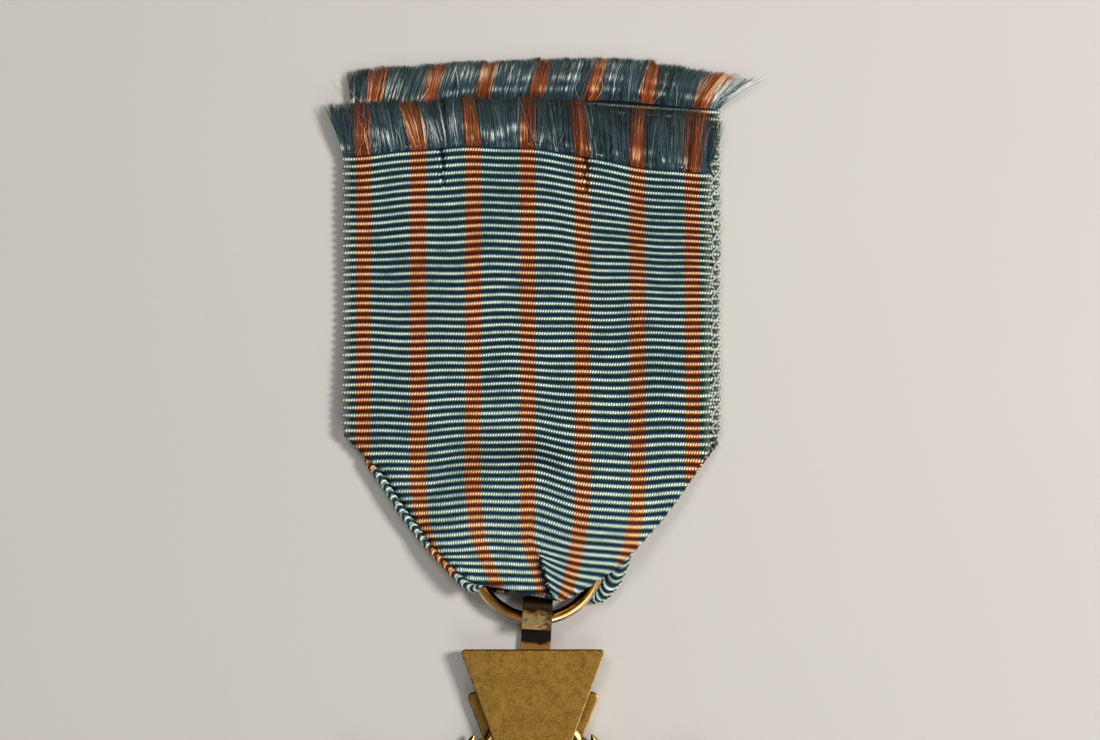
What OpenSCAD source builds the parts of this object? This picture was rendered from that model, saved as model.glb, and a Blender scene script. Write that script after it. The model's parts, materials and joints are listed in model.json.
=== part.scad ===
// Military service medal: a cross hung by a bail and a wire ring from a folded ribbon, lying face up.
// Millimetres. +Z comes out of the face, +Y runs up the ribbon and X runs across it.
// The origin is the centre of the cross's back, on the surface that the medal lies on.

/* [Cross] */
// Tip to tip of the front cross
cross_span = 36; // [30:0.5:44]
// Width of an arm at its end
arm_end_w = 14.3; // [11.5:0.1:16]
// Width of an arm where it meets the hub
arm_root_w = 5.4; // [4.4:0.1:6.6]
// Radius of the hub that joins the arms
hub_r = 7; // [6.8:0.1:7.6]
// Thickness of the front cross
front_t = 1; // [0.85:0.05:1.4]
// Thickness of the rear cross
rear_t = 1.1; // [0.9:0.05:1.5]
// How far the rear cross stops short of the front one's arm ends
rear_setback = 4.35; // [3.6:0.05:5.3]
// How far the rear cross shows beside each arm
rear_margin = 0.95; // [0.7:0.05:1.2]
// Radius of a rear arm's corners
rear_corner = 0.6; // [0.3:0.05:0.9]

/* [Wreath] */
// Middle radius of the laurel wreath
wreath_r = 9.8; // [9.4:0.1:10.2]
// Width of the band that carries the leaves
wreath_band_w = 1.3; // [1:0.05:1.6]
// Thickness of the band
wreath_t = 0.35; // [0.25:0.05:0.45]
// How far a leaf stands above the band
leaf_rise = 0.2; // [0.15:0.05:0.25]
// Length of a leaf
leaf_l = 2.6; // [2:0.1:3]
// Width of a leaf
leaf_w = 1; // [0.7:0.05:1.2]
// Pairs of leaves round the whole wreath
leaf_pairs = 24; // [16:4:28]

/* [Medallions] */
// Radius of the front medallion
medallion_r = 5.6; // [4.8:0.1:5.8]
// Thickness of the front medallion
medallion_t = 0.6; // [0.4:0.05:0.8]
// Depth of the seat that the front medallion drops into
medallion_seat = 0.2; // [0.1:0.05:0.3]
// Width of the rim round the front medallion
rim_w = 0.7; // [0.5:0.05:0.8]
// Height of the rim above the front cross
rim_h = 0.55; // [0.35:0.05:0.75]
// Outer radius of the star
star_r = 4.2; // [3.5:0.1:4.6]
// Height of the star
star_h = 0.5; // [0.35:0.05:0.7]
// Radius of the reverse medallion
reverse_r = 6; // [5:0.1:6.4]
// Thickness of the reverse medallion
reverse_t = 0.4; // [0.3:0.05:0.5]
// Rays engraved in the reverse medallion
ray_count = 16; // [8:2:24]
// Radius of the hidden centre rivet
rivet_r = 0.8; // [0.6:0.05:1]

/* [Ring and bail] */
// Diameter of the ring wire
wire_d = 1.25; // [1:0.05:1.5]
// Outer radius of the suspension ring
ring_outer_r = 7; // [6.6:0.1:8.4]
// Height of the ring wire's centre above the surface
ring_z = 1.5; // [1.45:0.05:1.7]
// Gap between the ring's lowest point and the top edge of the cross
ring_gap = 2.44; // [2:0.02:3]
// Offset of the ring's centre to the right of the cross
ring_shift = 0.4; // [0:0.1:0.6]
// Width of the bail strip
bail_w = 3; // [2.4:0.1:3.6]
// Thickness of the bail strip
bail_t = 0.3; // [0.25:0.05:0.35]
// Free space between the wire and each side of the bail
bail_play = 0.28; // [0.25:0.01:0.34]
// How far the bail's bend rises above the wire's centre
bail_rise = 2.2; // [1.9:0.05:2.3]
// Length of the bail's front flap below the wire's centre
bail_flap = 1; // [0.8:0.05:1.3]
// Lean of the bail, degrees
bail_lean = 3; // [0:0.5:4]
// Length of the bail's leg behind the cross
bail_leg = 3.4; // [2.6:0.1:3.4]

/* [Ribbon] */
// Width of the ribbon
ribbon_w = 37; // [30:0.5:45]
// Thickness of one layer of ribbon
ribbon_t = 0.5; // [0.4:0.05:0.6]
// Offset of the ribbon to the left of the cross
ribbon_shift = -0.6; // [-1:0.1:0]
// Length of the front layer above the fold line
front_l = 28.2; // [23:0.2:34]
// How much further the back layer runs
back_extra = 4.3; // [3.5:0.1:5.2]
// How far the back layer is set to the right of the front one
back_shift = 0.9; // [0.5:0.1:1.1]
// Height of the V below the fold line
vee_h = 16.4; // [15:0.2:16.6]
// Width of the ribbon at the foot of the V
vee_w = 11.4; // [9.6:0.2:12.4]
// Length of the frayed end of the front layer
front_fray = 4.6; // [3.8:0.1:5.6]
// Length of the frayed end of the back layer
back_fray = 3.8; // [3:0.1:4.6]
// Width of the gathered loop through the ring
loop_w = 6.4; // [5.2:0.1:7]

/* [Motion] */
// Sideways sway each way, degrees
sway = 30; // [20:1:30]

/* [Hidden] */
$fn = 96;
joint_gap = 0.05;
clearance = 0.02;
past = 1;
// How far the bail's bend and the cloth stay off each other
fold_gap = 0.1;
loop_gap = 0.2;
path_gap = 0.08;
path_margin = 2;

brass = "#8f6b2b";
bright_brass = "#b8873a";
dark_brass = "#5c4a2c";
solder_grey = "#8c8778";
ribbon_blue = "#5f8da0";
fringe_blue = "#7fa3ad";

// Cross heights and arm outline
arm_root_share = 0.8;
arm_l = cross_span / 2;
arm_root_y = hub_r * arm_root_share;
flare = (arm_end_w - arm_root_w) / 2 / (arm_l - arm_root_y);
face_z = rear_t + front_t;
rear_l = arm_l - rear_setback;
rear_end_w = arm_end_w - 2 * flare * rear_setback + 2 * rear_margin;
rear_root_w = arm_root_w + 2 * rear_margin;

// Wreath channel under the front cross
leaf_splay = 30;
channel_margin = 0.68;
leaf_reach = wreath_band_w / 2 + leaf_l / 2 * sin(leaf_splay) + channel_margin;
channel_h = wreath_t + leaf_rise + clearance;

// Ring and bail
ring_r = ring_outer_r - wire_d / 2;
ring_y = arm_l + ring_gap + ring_outer_r;
wire_y = ring_y - ring_r;
bail_in = wire_d / 2 + bail_play;
bail_out = bail_in + bail_t;
bend_y = bail_rise - bail_out;
bail_back_z = ring_z - bail_out;

// Ribbon layers
ring_shows = 3.16;
layer_gap = 0.45;
fold_top = ring_z + bail_out + fold_gap;
vee_foot_y = ring_y - ring_outer_r + ring_shows;
fold_y = vee_foot_y + vee_h;
loop_r = ring_r - bail_rise - loop_gap;
back_fold_t = ribbon_t + loop_gap;
back_bed = bail_back_z + bail_t;
front_end_z = ribbon_t + layer_gap;
// The back layer leaves the path that the bail sways through free
bail_path_r = loop_r + path_gap;
bail_path_angle = sway + bail_lean + atan(bail_w / 2 / (ring_r - bail_rise)) + path_margin;

// Each outer corner is rounded in two cuts, with the middle point on the arc
module arm_outline(tip, end_w, root_w, corner) {
    inset = corner * (1 - sin(45));
    polygon([
        [-root_w / 2, arm_root_y],
        [-end_w / 2, tip - corner],
        [-end_w / 2 + inset, tip - inset],
        [-end_w / 2 + corner, tip],
        [end_w / 2 - corner, tip],
        [end_w / 2 - inset, tip - inset],
        [end_w / 2, tip - corner],
        [root_w / 2, arm_root_y]
    ]);
}

module cross_plate(tip, end_w, root_w, corner, height) {
    cylinder(r = hub_r, h = height);
    for (quarter = [0:3])
        rotate(quarter * 90)
            linear_extrude(height = height)
                arm_outline(tip, end_w, root_w, corner);
}

module ring_band(inner, outer, height) {
    difference() {
        cylinder(r = outer, h = height);
        translate([0, 0, -past])
            cylinder(r = inner, h = height + 2 * past);
    }
}

module front_cross() {
    corner = 0.35;
    color(brass)
        translate([0, 0, rear_t])
            difference() {
                cross_plate(arm_l, arm_end_w, arm_root_w, corner, front_t);
                translate([0, 0, -past])
                    ring_band(wreath_r - leaf_reach, wreath_r + leaf_reach, past + channel_h);
                translate([0, 0, front_t - medallion_seat])
                    cylinder(r = medallion_r + clearance, h = medallion_seat + past);
                translate([0, 0, -past])
                    cylinder(r = rivet_r + clearance, h = front_t + 2 * past);
            }
}

module rear_cross() {
    color(brass)
        difference() {
            cross_plate(rear_l, rear_end_w, rear_root_w, rear_corner, rear_t);
            translate([0, 0, -past])
                cylinder(r = reverse_r + clearance, h = past + reverse_t);
            translate([0, 0, -past])
                cylinder(r = rivet_r + clearance, h = rear_t + 2 * past);
        }
}

// A leaf is the lens where two circles cross
module leaf() {
    lens_r = (leaf_l * leaf_l + leaf_w * leaf_w) / (4 * leaf_w);
    intersection_for (side = [-1, 1])
        translate([side * (lens_r - leaf_w / 2), 0])
            circle(r = lens_r, $fn = 48);
}

module laurel_wreath() {
    step = 360 / leaf_pairs;
    // Each branch climbs from the bottom to the top, so the leaves point up on both sides
    color(brass)
        translate([0, 0, rear_t]) {
            ring_band(wreath_r - wreath_band_w / 2, wreath_r + wreath_band_w / 2, wreath_t);
            for (branch = [0, 1], pair = [0:leaf_pairs / 2 - 1], side = [-1, 1])
                mirror([branch, 0, 0])
                    rotate(-90 + (pair + 0.5) * step)
                        translate([wreath_r + side * wreath_band_w / 2, 0, 0])
                            rotate(-side * leaf_splay)
                                linear_extrude(height = wreath_t + leaf_rise)
                                    leaf();
        }
}

module medallion_disc() {
    color(brass)
        translate([0, 0, face_z - medallion_seat])
            difference() {
                cylinder(r = medallion_r, h = medallion_t);
                translate([0, 0, -past])
                    cylinder(r = rivet_r + clearance, h = past + medallion_seat);
            }
}

module medallion_rim() {
    color(bright_brass)
        translate([0, 0, face_z])
            rotate_extrude()
                translate([medallion_r + clearance, 0])
                    intersection() {
                        translate([rim_w / 2, 0])
                            circle(r = rim_h, $fn = 48);
                        square([rim_w, rim_h]);
                    }
}

module medallion_star() {
    points = 5;
    waist = 0.4;
    peak = 0.02;
    color(bright_brass)
        translate([0, 0, face_z - medallion_seat + medallion_t])
            linear_extrude(height = star_h, scale = peak)
                polygon([
                    for (k = [0:2 * points - 1])
                        (k % 2 == 0 ? star_r : star_r * waist)
                            * [sin(k * 180 / points), cos(k * 180 / points)]
                ]);
}

module reverse_medallion() {
    ray_w = 0.25;
    ray_depth = 0.12;
    boss_r = 2;
    margin = 0.7;
    color(brass)
        difference() {
            cylinder(r = reverse_r, h = reverse_t);
            for (k = [0:ray_count - 1])
                rotate(k * 360 / ray_count)
                    translate([boss_r, -ray_w / 2, -past])
                        cube([reverse_r - margin - boss_r, ray_w, past + ray_depth]);
        }
}

module centre_rivet() {
    color(dark_brass)
        translate([0, 0, reverse_t])
            cylinder(r = rivet_r, h = face_z - reverse_t);
}

// A strip folded over the wire: front flap, bend and back leg, drawn from the side
module bail_side() {
    leg_end = wire_y - arm_l + bail_leg;
    difference() {
        union() {
            translate([bend_y, 0])
                circle(r = bail_out);
            translate([-leg_end, -bail_out])
                square([leg_end + bend_y, 2 * bail_out]);
        }
        translate([bend_y, 0])
            circle(r = bail_in);
        translate([-leg_end - past, -bail_in])
            square([leg_end + past + bend_y, 2 * bail_in]);
        translate([-leg_end - past, 0])
            square([leg_end + past - bail_flap, bail_out + past]);
    }
}

module suspension_bail() {
    color(dark_brass)
        translate([ring_shift, wire_y, ring_z])
            rotate([0, 0, -bail_lean])
                rotate([90, 0, 90])
                    translate([0, 0, -bail_w / 2])
                        linear_extrude(height = bail_w)
                            bail_side();
}

module bail_solder() {
    margin = 0.4;
    inset = 0.1;
    solder_w = bail_w + 2 * margin;
    solder_l = bail_leg - 2 * inset;
    color(solder_grey)
        translate([-solder_w / 2, arm_l - solder_l - inset, back_bed])
            cube([solder_w, solder_l, rear_t - back_bed]);
}

module suspension_ring() {
    color(bright_brass)
        translate([ring_shift, ring_y, ring_z])
            rotate_extrude()
                translate([ring_r, 0])
                    circle(r = wire_d / 2, $fn = 48);
}

module vee_outline(shift) {
    corner = 1.4;
    left = ribbon_shift + shift - ribbon_w / 2;
    right = left + ribbon_w;
    foot = ribbon_shift + shift;
    polygon([
        [left, fold_y - joint_gap],
        [left, fold_y - corner],
        [foot - vee_w / 2, vee_foot_y + corner],
        [foot - vee_w / 4, vee_foot_y],
        [foot + vee_w / 4, vee_foot_y],
        [foot + vee_w / 2, vee_foot_y + corner],
        [right, fold_y - corner],
        [right, fold_y - joint_gap]
    ]);
}

module front_fold() {
    color(ribbon_blue)
        translate([0, 0, fold_top])
            linear_extrude(height = ribbon_t)
                vee_outline(0);
}

// The sector that the bail sweeps as the cross sways, taken out of the back layer
module bail_path() {
    reach = 4 * ring_outer_r;
    translate([ring_shift, ring_y])
        difference() {
            polygon([
                [0, 0],
                reach * [-sin(bail_path_angle), -cos(bail_path_angle)],
                reach * [sin(bail_path_angle), -cos(bail_path_angle)]
            ]);
            circle(r = bail_path_r);
        }
}

module back_fold() {
    color(ribbon_blue)
        linear_extrude(height = back_fold_t)
            difference() {
                vee_outline(back_shift);
                bail_path();
            }
}

module ring_loop() {
    loop_t = 2 * ribbon_t;
    color(ribbon_blue)
        translate([0, 0, back_fold_t])
            linear_extrude(height = fold_top - back_fold_t)
                translate([ring_shift, ring_y])
                    intersection() {
                        difference() {
                            circle(r = loop_r);
                            circle(r = loop_r - loop_t);
                        }
                        translate([-loop_w / 2, -loop_r])
                            square([loop_w, loop_r]);
                    }
}

// Draws a layer of ribbon from its side, from the fold line to its cut end
module ribbon_layer(shift, low_z, length, end_z) {
    color(ribbon_blue)
        translate([ribbon_shift + shift - ribbon_w / 2, fold_y, 0])
            rotate([90, 0, 90])
                linear_extrude(height = ribbon_w)
                    polygon([
                        [0, low_z],
                        [length, end_z],
                        [length, end_z + ribbon_t],
                        [0, low_z + ribbon_t]
                    ]);
}

module front_panel() {
    ribbon_layer(0, fold_top, front_l, front_end_z);
}

module back_panel() {
    ribbon_layer(back_shift, 0, front_l + back_extra, 0);
}

module fringe(shift, start, length, low_z) {
    thread_share = 0.8;
    thread_t = ribbon_t * thread_share;
    color(fringe_blue)
        translate([ribbon_shift + shift - ribbon_w / 2, fold_y + start, low_z])
            cube([ribbon_w, length, thread_t]);
}

module front_fringe() {
    fringe(0, front_l, front_fray, front_end_z);
}

module back_fringe() {
    fringe(back_shift, front_l + back_extra, back_fray, 0);
}

front_panel();
back_panel();
front_fringe();
back_fringe();
front_fold();
back_fold();
ring_loop();
suspension_ring();
suspension_bail();
bail_solder();
front_cross();
rear_cross();
laurel_wreath();
medallion_disc();
medallion_rim();
medallion_star();
reverse_medallion();
centre_rivet();
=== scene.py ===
import bpy
import json
import math
import numpy as np
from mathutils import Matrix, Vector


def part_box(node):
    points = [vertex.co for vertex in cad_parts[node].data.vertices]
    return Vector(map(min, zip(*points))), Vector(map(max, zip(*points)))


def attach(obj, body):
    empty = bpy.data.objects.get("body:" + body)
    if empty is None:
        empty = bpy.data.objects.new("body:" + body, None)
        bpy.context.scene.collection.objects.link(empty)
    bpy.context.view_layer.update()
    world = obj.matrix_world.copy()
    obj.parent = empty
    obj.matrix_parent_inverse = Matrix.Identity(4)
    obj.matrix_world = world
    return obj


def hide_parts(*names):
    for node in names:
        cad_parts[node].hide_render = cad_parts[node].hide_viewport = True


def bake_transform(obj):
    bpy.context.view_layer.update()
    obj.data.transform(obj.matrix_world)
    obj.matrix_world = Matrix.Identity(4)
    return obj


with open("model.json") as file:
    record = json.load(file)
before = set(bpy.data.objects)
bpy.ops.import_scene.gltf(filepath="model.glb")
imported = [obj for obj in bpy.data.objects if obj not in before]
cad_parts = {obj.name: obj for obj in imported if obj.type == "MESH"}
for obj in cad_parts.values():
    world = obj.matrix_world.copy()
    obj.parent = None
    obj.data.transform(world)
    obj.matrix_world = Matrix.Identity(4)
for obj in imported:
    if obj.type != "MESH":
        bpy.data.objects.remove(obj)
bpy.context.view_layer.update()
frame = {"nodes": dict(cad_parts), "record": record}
mm = 0.001
joints = {j["name"]: j for j in frame["record"]["behaviour"]["joints"]}
ringX, ringY, ringZ = [c / mm for c in joints["ring_sway"]["pos_m"]]


def corners(node):
    # lowest and highest corner of a part, in millimetres
    low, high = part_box(node)
    return np.array(low) / mm, np.array(high) / mm


# how wide the view is and where it looks, in mm
cameraSet = {"lens": 100, "wide": 110, "aim": (1.7, 46.0, 2.0)}
floorSet = {"reach": 3.0, "below": 0.00002}   # metres; it lies just under the ribbon


def addObject(name, data):
    made = bpy.data.objects.new(name, data)
    bpy.context.scene.collection.objects.link(made)
    return made


def makeCamera():
    s = cameraSet
    data = bpy.data.cameras.new("camera")
    data.lens = s["lens"]
    camera = addObject("camera", data)
    x, y, z = s["aim"]
    away = s["wide"] * s["lens"] / data.sensor_width
    camera.location = (x * mm, y * mm, (z + away) * mm)
    data.clip_start = 0.01
    bpy.context.scene.camera = camera


def linear(hexColour):
    # sRGB hex to the linear colour that a shader wants
    parts = [int(hexColour[i:i + 2], 16) / 255 for i in (1, 3, 5)]
    return [c / 12.92 if c <= 0.04045 else ((c + 0.055) / 1.055) ** 2.4 for c in parts] + [1.0]


def addNode(mat, kind, inputs=None, **settings):
    # one node and its settings; an input takes a value, a socket or the first output of another node
    node = mat.node_tree.nodes.new("ShaderNode" + kind)
    for name, value in settings.items():
        setattr(node, name, value)
    for where, what in (inputs or {}).items():
        if isinstance(what, bpy.types.Node):
            what = what.outputs[0]
        if isinstance(what, bpy.types.NodeSocket):
            mat.node_tree.links.new(what, node.inputs[where])
        else:
            node.inputs[where].default_value = what
    return node


def setStops(ramp, places, colours):
    # the colours along a ramp, from its low end up
    stops = ramp.color_ramp.elements
    for place in places[1:-1]:
        stops.new(place)
    for stop, place, colour in zip(stops, places, colours):
        stop.position = place
        stop.color = linear(colour)


def newMaterial(name):
    mat = bpy.data.materials.new(name)
    mat.use_nodes = True
    mat.node_tree.nodes.clear()
    return mat


def finishMaterial(mat, shader):
    addNode(mat, "OutputMaterial", {"Surface": shader})
    return mat


# where each lamp stands in metres, its width, power in watts and colour
lightSet = {
    "key": {"at": (0.32, 0.10, 0.35), "size": 0.11, "power": 2.5, "colour": "#fffcf7"},
    "fill": {"at": (-0.20, 0.40, 0.55), "size": 0.22, "power": 1.55, "colour": "#ffffff"},
    "low": {"at": (0.18, -0.30, 0.30), "size": 0.3, "power": 0.65, "colour": "#fffdf8"},
}
worldSet = {"colour": "#f4f2ee", "strength": 0.21}


def makeLights():
    for name, s in lightSet.items():
        data = bpy.data.lights.new(name, "AREA")
        data.energy = s["power"]
        data.size = s["size"]
        data.color = linear(s["colour"])[:3]
        lamp = addObject(name, data)
        lamp.location = s["at"]
        x, y, z = (cameraSet["aim"][i] * mm - s["at"][i] for i in range(3))
        lamp.rotation_euler = (math.atan2(math.hypot(x, y), -z), 0, math.atan2(y, x) + math.pi * 1.5)
    world = bpy.data.worlds.new("studio")
    bpy.context.scene.world = world
    world.use_nodes = True
    background = world.node_tree.nodes["Background"]
    background.inputs["Color"].default_value = linear(worldSet["colour"])
    background.inputs["Strength"].default_value = worldSet["strength"]
    bpy.context.scene.view_settings.view_transform = "Standard"


def paleCard():
    # smooth matt card: a faint tooth and slow changes of tone
    mat = newMaterial("paleCard")
    where = addNode(mat, "TexCoord").outputs["Object"]
    tone = addNode(mat, "TexNoise", {"Vector": where, "Scale": 18.0, "Detail": 3.0})
    colour = addNode(mat, "Mix", {0: tone, 6: linear("#afaca8"), 7: linear("#b5b2ae")}, data_type="RGBA")
    tooth = addNode(mat, "TexNoise", {"Vector": where, "Scale": 1400.0, "Detail": 2.0})
    bump = addNode(mat, "Bump", {"Height": tooth, "Distance": 0.00003, "Strength": 0.4})
    shader = addNode(mat, "BsdfPrincipled", {"Base Color": colour.outputs[2], "Roughness": 0.75,
                                             "Normal": bump})
    return finishMaterial(mat, shader)


def makeFloor():
    mesh = bpy.data.meshes.new("floor")
    r = floorSet["reach"]
    mesh.from_pydata([(-r, -r, 0), (r, -r, 0), (r, r, 0), (-r, r, 0)], [], [(0, 1, 2, 3)])
    floor = addObject("floor", mesh)
    floor.location.z = -floorSet["below"]
    mesh.materials.append(paleCard())


makeCamera()
makeLights()
makeFloor()
print("camera, light and floor made")

weave = {
    "rib": 0.727,          # mm from rib to rib, along the ribbon
    "ribHeight": 0.15,     # how far a rib stands up on each side
    "core": 0.09,          # half the thickness between ribs
    "thread": 0.17,        # mm from warp thread to warp thread
    "drawnThread": 0.26,   # the same threads as coarse as they must be to show
    "stripe": 5.49,        # mm from stripe to stripe
    "stripeWidth": 1.55,
    "width": 37.0,
    "scallop": 0.42,       # how far the selvedge swings in and out
    "rowsPerRib": 6,       # grid lines along each rib of the front layer, and fewer on the back
    "backRowsPerRib": 4,
    "column": 0.4,         # mm from grid line to grid line across the ribbon
}


def smooth(x, start, end):
    t = np.clip((x - start) / (end - start), 0, 1)
    return t * t * (3 - 2 * t)


def unit(v):
    return v / np.maximum(np.linalg.norm(v, axis=-1, keepdims=True), 1e-9)


def runAlong(line):
    # distance covered at each point of a line
    return np.concatenate([[0], np.cumsum(np.linalg.norm(np.diff(line, axis=0), axis=1))])


def throughPoints(points, step=0.15):
    # a smooth line through a few points (Catmull-Rom), at even steps
    p = np.array(points, float)
    p = np.vstack([2 * p[0] - p[1], p, 2 * p[-1] - p[-2]])
    out = []
    for a, b, c, d in zip(p, p[1:], p[2:], p[3:]):
        t = np.linspace(0, 1, 40, endpoint=False)[:, None]
        bow = (2 * a - 5 * b + 4 * c - d) * t ** 2
        out.append(0.5 * (2 * b + (c - a) * t + bow + (3 * b - a - 3 * c + d) * t ** 3))
    line = np.vstack(out + [p[-2:-1]])
    run = runAlong(line)
    at = np.arange(0, run[-1], step)
    return np.stack([np.interp(at, run, line[:, k]) for k in range(line.shape[1])], 1)


def nearestOnLine(line, x, y):
    # for each point: how far it is to the left of the line, the nearest place on it and the outward normal
    flat = np.stack([x.ravel(), y.ravel()], 1)
    tangent = unit(np.gradient(line, axis=0))
    inward = np.stack([-tangent[:, 1], tangent[:, 0]], 1)
    best = np.empty(len(flat), int)
    for i in range(0, len(flat), 4000):
        part = flat[i:i + 4000]
        best[i:i + 4000] = ((part[:, None, :] - line[None]) ** 2).sum(2).argmin(1)
    inside = ((flat - line[best]) * inward[best]).sum(1)
    shape = x.shape + (2,)
    return inside.reshape(x.shape), line[best].reshape(shape), -inward[best].reshape(shape)


def ribAt(along):
    return np.abs(np.sin(np.pi * along / weave["rib"]))


def gridQuads(rows, cols):
    index = np.arange(rows * cols).reshape(rows, cols)
    return np.stack([index[:-1, :-1], index[:-1, 1:], index[1:, 1:], index[1:, :-1]], 2)


def clothShell(middle, across, along, keep, thin=1.0, paintedLight=None, paintedShade=None):
    # both faces of a piece of ribbed cloth round its middle surface, closed at every edge
    # middle is rows x columns x 3 in mm, with rows going down the ribbon; keep marks the cells that stay
    # the last two arguments carry painted light and painted shade to the material
    normal = unit(np.cross(np.gradient(middle, axis=0), np.gradient(middle, axis=1)))
    # a rib is a round cord, so its crest is broad and the valley between ribs is narrow
    rib = ribAt(along) ** 0.7
    edge = weave["width"] / 2 - np.abs(across)
    taper = np.sqrt(np.clip(1 - (1 - np.clip(edge / 0.3, 0, 1)) ** 2, 0.02, 1))
    half = (weave["core"] + weave["ribHeight"] * rib) * taper * thin
    top = middle + normal * half[..., None]
    under = middle - normal * half[..., None]
    rows, cols = across.shape
    quads = gridQuads(rows, cols)[keep]
    edges = np.concatenate([quads[:, [k, (k + 1) % 4]] for k in range(4)])
    low, high = edges.min(1), edges.max(1)
    code = low.astype(np.int64) * rows * cols + high
    _, first, count = np.unique(code, return_index=True, return_counts=True)
    border = edges[first[count == 1]]
    total = rows * cols
    sides = np.stack([border[:, 0], border[:, 1], border[:, 1] + total, border[:, 0] + total], 1)
    faces = np.concatenate([quads[:, ::-1], quads + total, sides])
    points = np.concatenate([top.reshape(-1, 3), under.reshape(-1, 3)])
    blank = np.zeros_like(across)
    marks = {"across": across, "along": along, "paintedLight": blank if paintedLight is None else paintedLight,
             "paintedShade": blank if paintedShade is None else paintedShade}
    values = {k: np.tile(v.ravel(), 2) for k, v in marks.items()}
    used = np.unique(faces)
    renumber = np.full(total * 2, -1)
    renumber[used] = np.arange(len(used))
    return points[used], renumber[faces], {k: v[used] for k, v in values.items()}


def joinShells(shells):
    points, faces, values, base = [], [], {}, 0
    for p, f, v in shells:
        points.append(p)
        faces.append(f + base)
        base += len(p)
        for k in v:
            values.setdefault(k, []).append(v[k])
    return np.concatenate(points), np.concatenate(faces), {k: np.concatenate(v) for k, v in values.items()}


def meshPiece(name, points, faces, values, mat):
    # points in mm; values become float attributes that the materials read
    mesh = bpy.data.meshes.new(name)
    corner = faces.shape[1]
    mesh.vertices.add(len(points))
    mesh.vertices.foreach_set("co", (points * mm).astype(np.float32).ravel())
    mesh.loops.add(faces.size)
    mesh.loops.foreach_set("vertex_index", faces.astype(np.int32).ravel())
    mesh.polygons.add(len(faces))
    mesh.polygons.foreach_set("loop_start", np.arange(0, faces.size, corner, dtype=np.int32))
    mesh.update(calc_edges=True)
    mesh.validate()
    mesh.polygons.foreach_set("use_smooth", np.ones(len(mesh.polygons), bool))
    for key, value in values.items():
        mesh.attributes.new(key, "FLOAT", "POINT").data.foreach_set("value", value.astype(np.float32))
    mesh.materials.append(mat)
    return addObject(name, mesh)


def stripedColour(mat, across, shade, places, groundColours, orangeColours, softness):
    # ground and stripes take their shades from two ramps; a stripe's edge falls between two warp threads
    thread = addNode(mat, "Math", {0: across, 1: weave["thread"]}, operation="SNAP")
    moved = addNode(mat, "Math", {0: thread, 1: weave["stripe"] / 2}, operation="ADD")
    inStripe = addNode(mat, "Math", {0: moved, 1: weave["stripe"]}, operation="FLOORED_MODULO")
    centred = addNode(mat, "Math", {0: inStripe, 1: weave["stripe"] / 2}, operation="SUBTRACT")
    away = addNode(mat, "Math", {0: centred}, operation="ABSOLUTE")
    half = weave["stripeWidth"] / 2
    stripes = addNode(mat, "MapRange", {"Value": away, "From Min": half - softness,
                                        "From Max": half + softness, "To Min": 1.0, "To Max": 0.0})
    ground = addNode(mat, "ValToRGB", {"Fac": shade})
    orange = addNode(mat, "ValToRGB", {"Fac": shade})
    setStops(ground, places, groundColours)
    setStops(orange, places, orangeColours)
    return addNode(mat, "Mix", {0: stripes, 6: ground, 7: orange}, data_type="RGBA").outputs[2]


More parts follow.
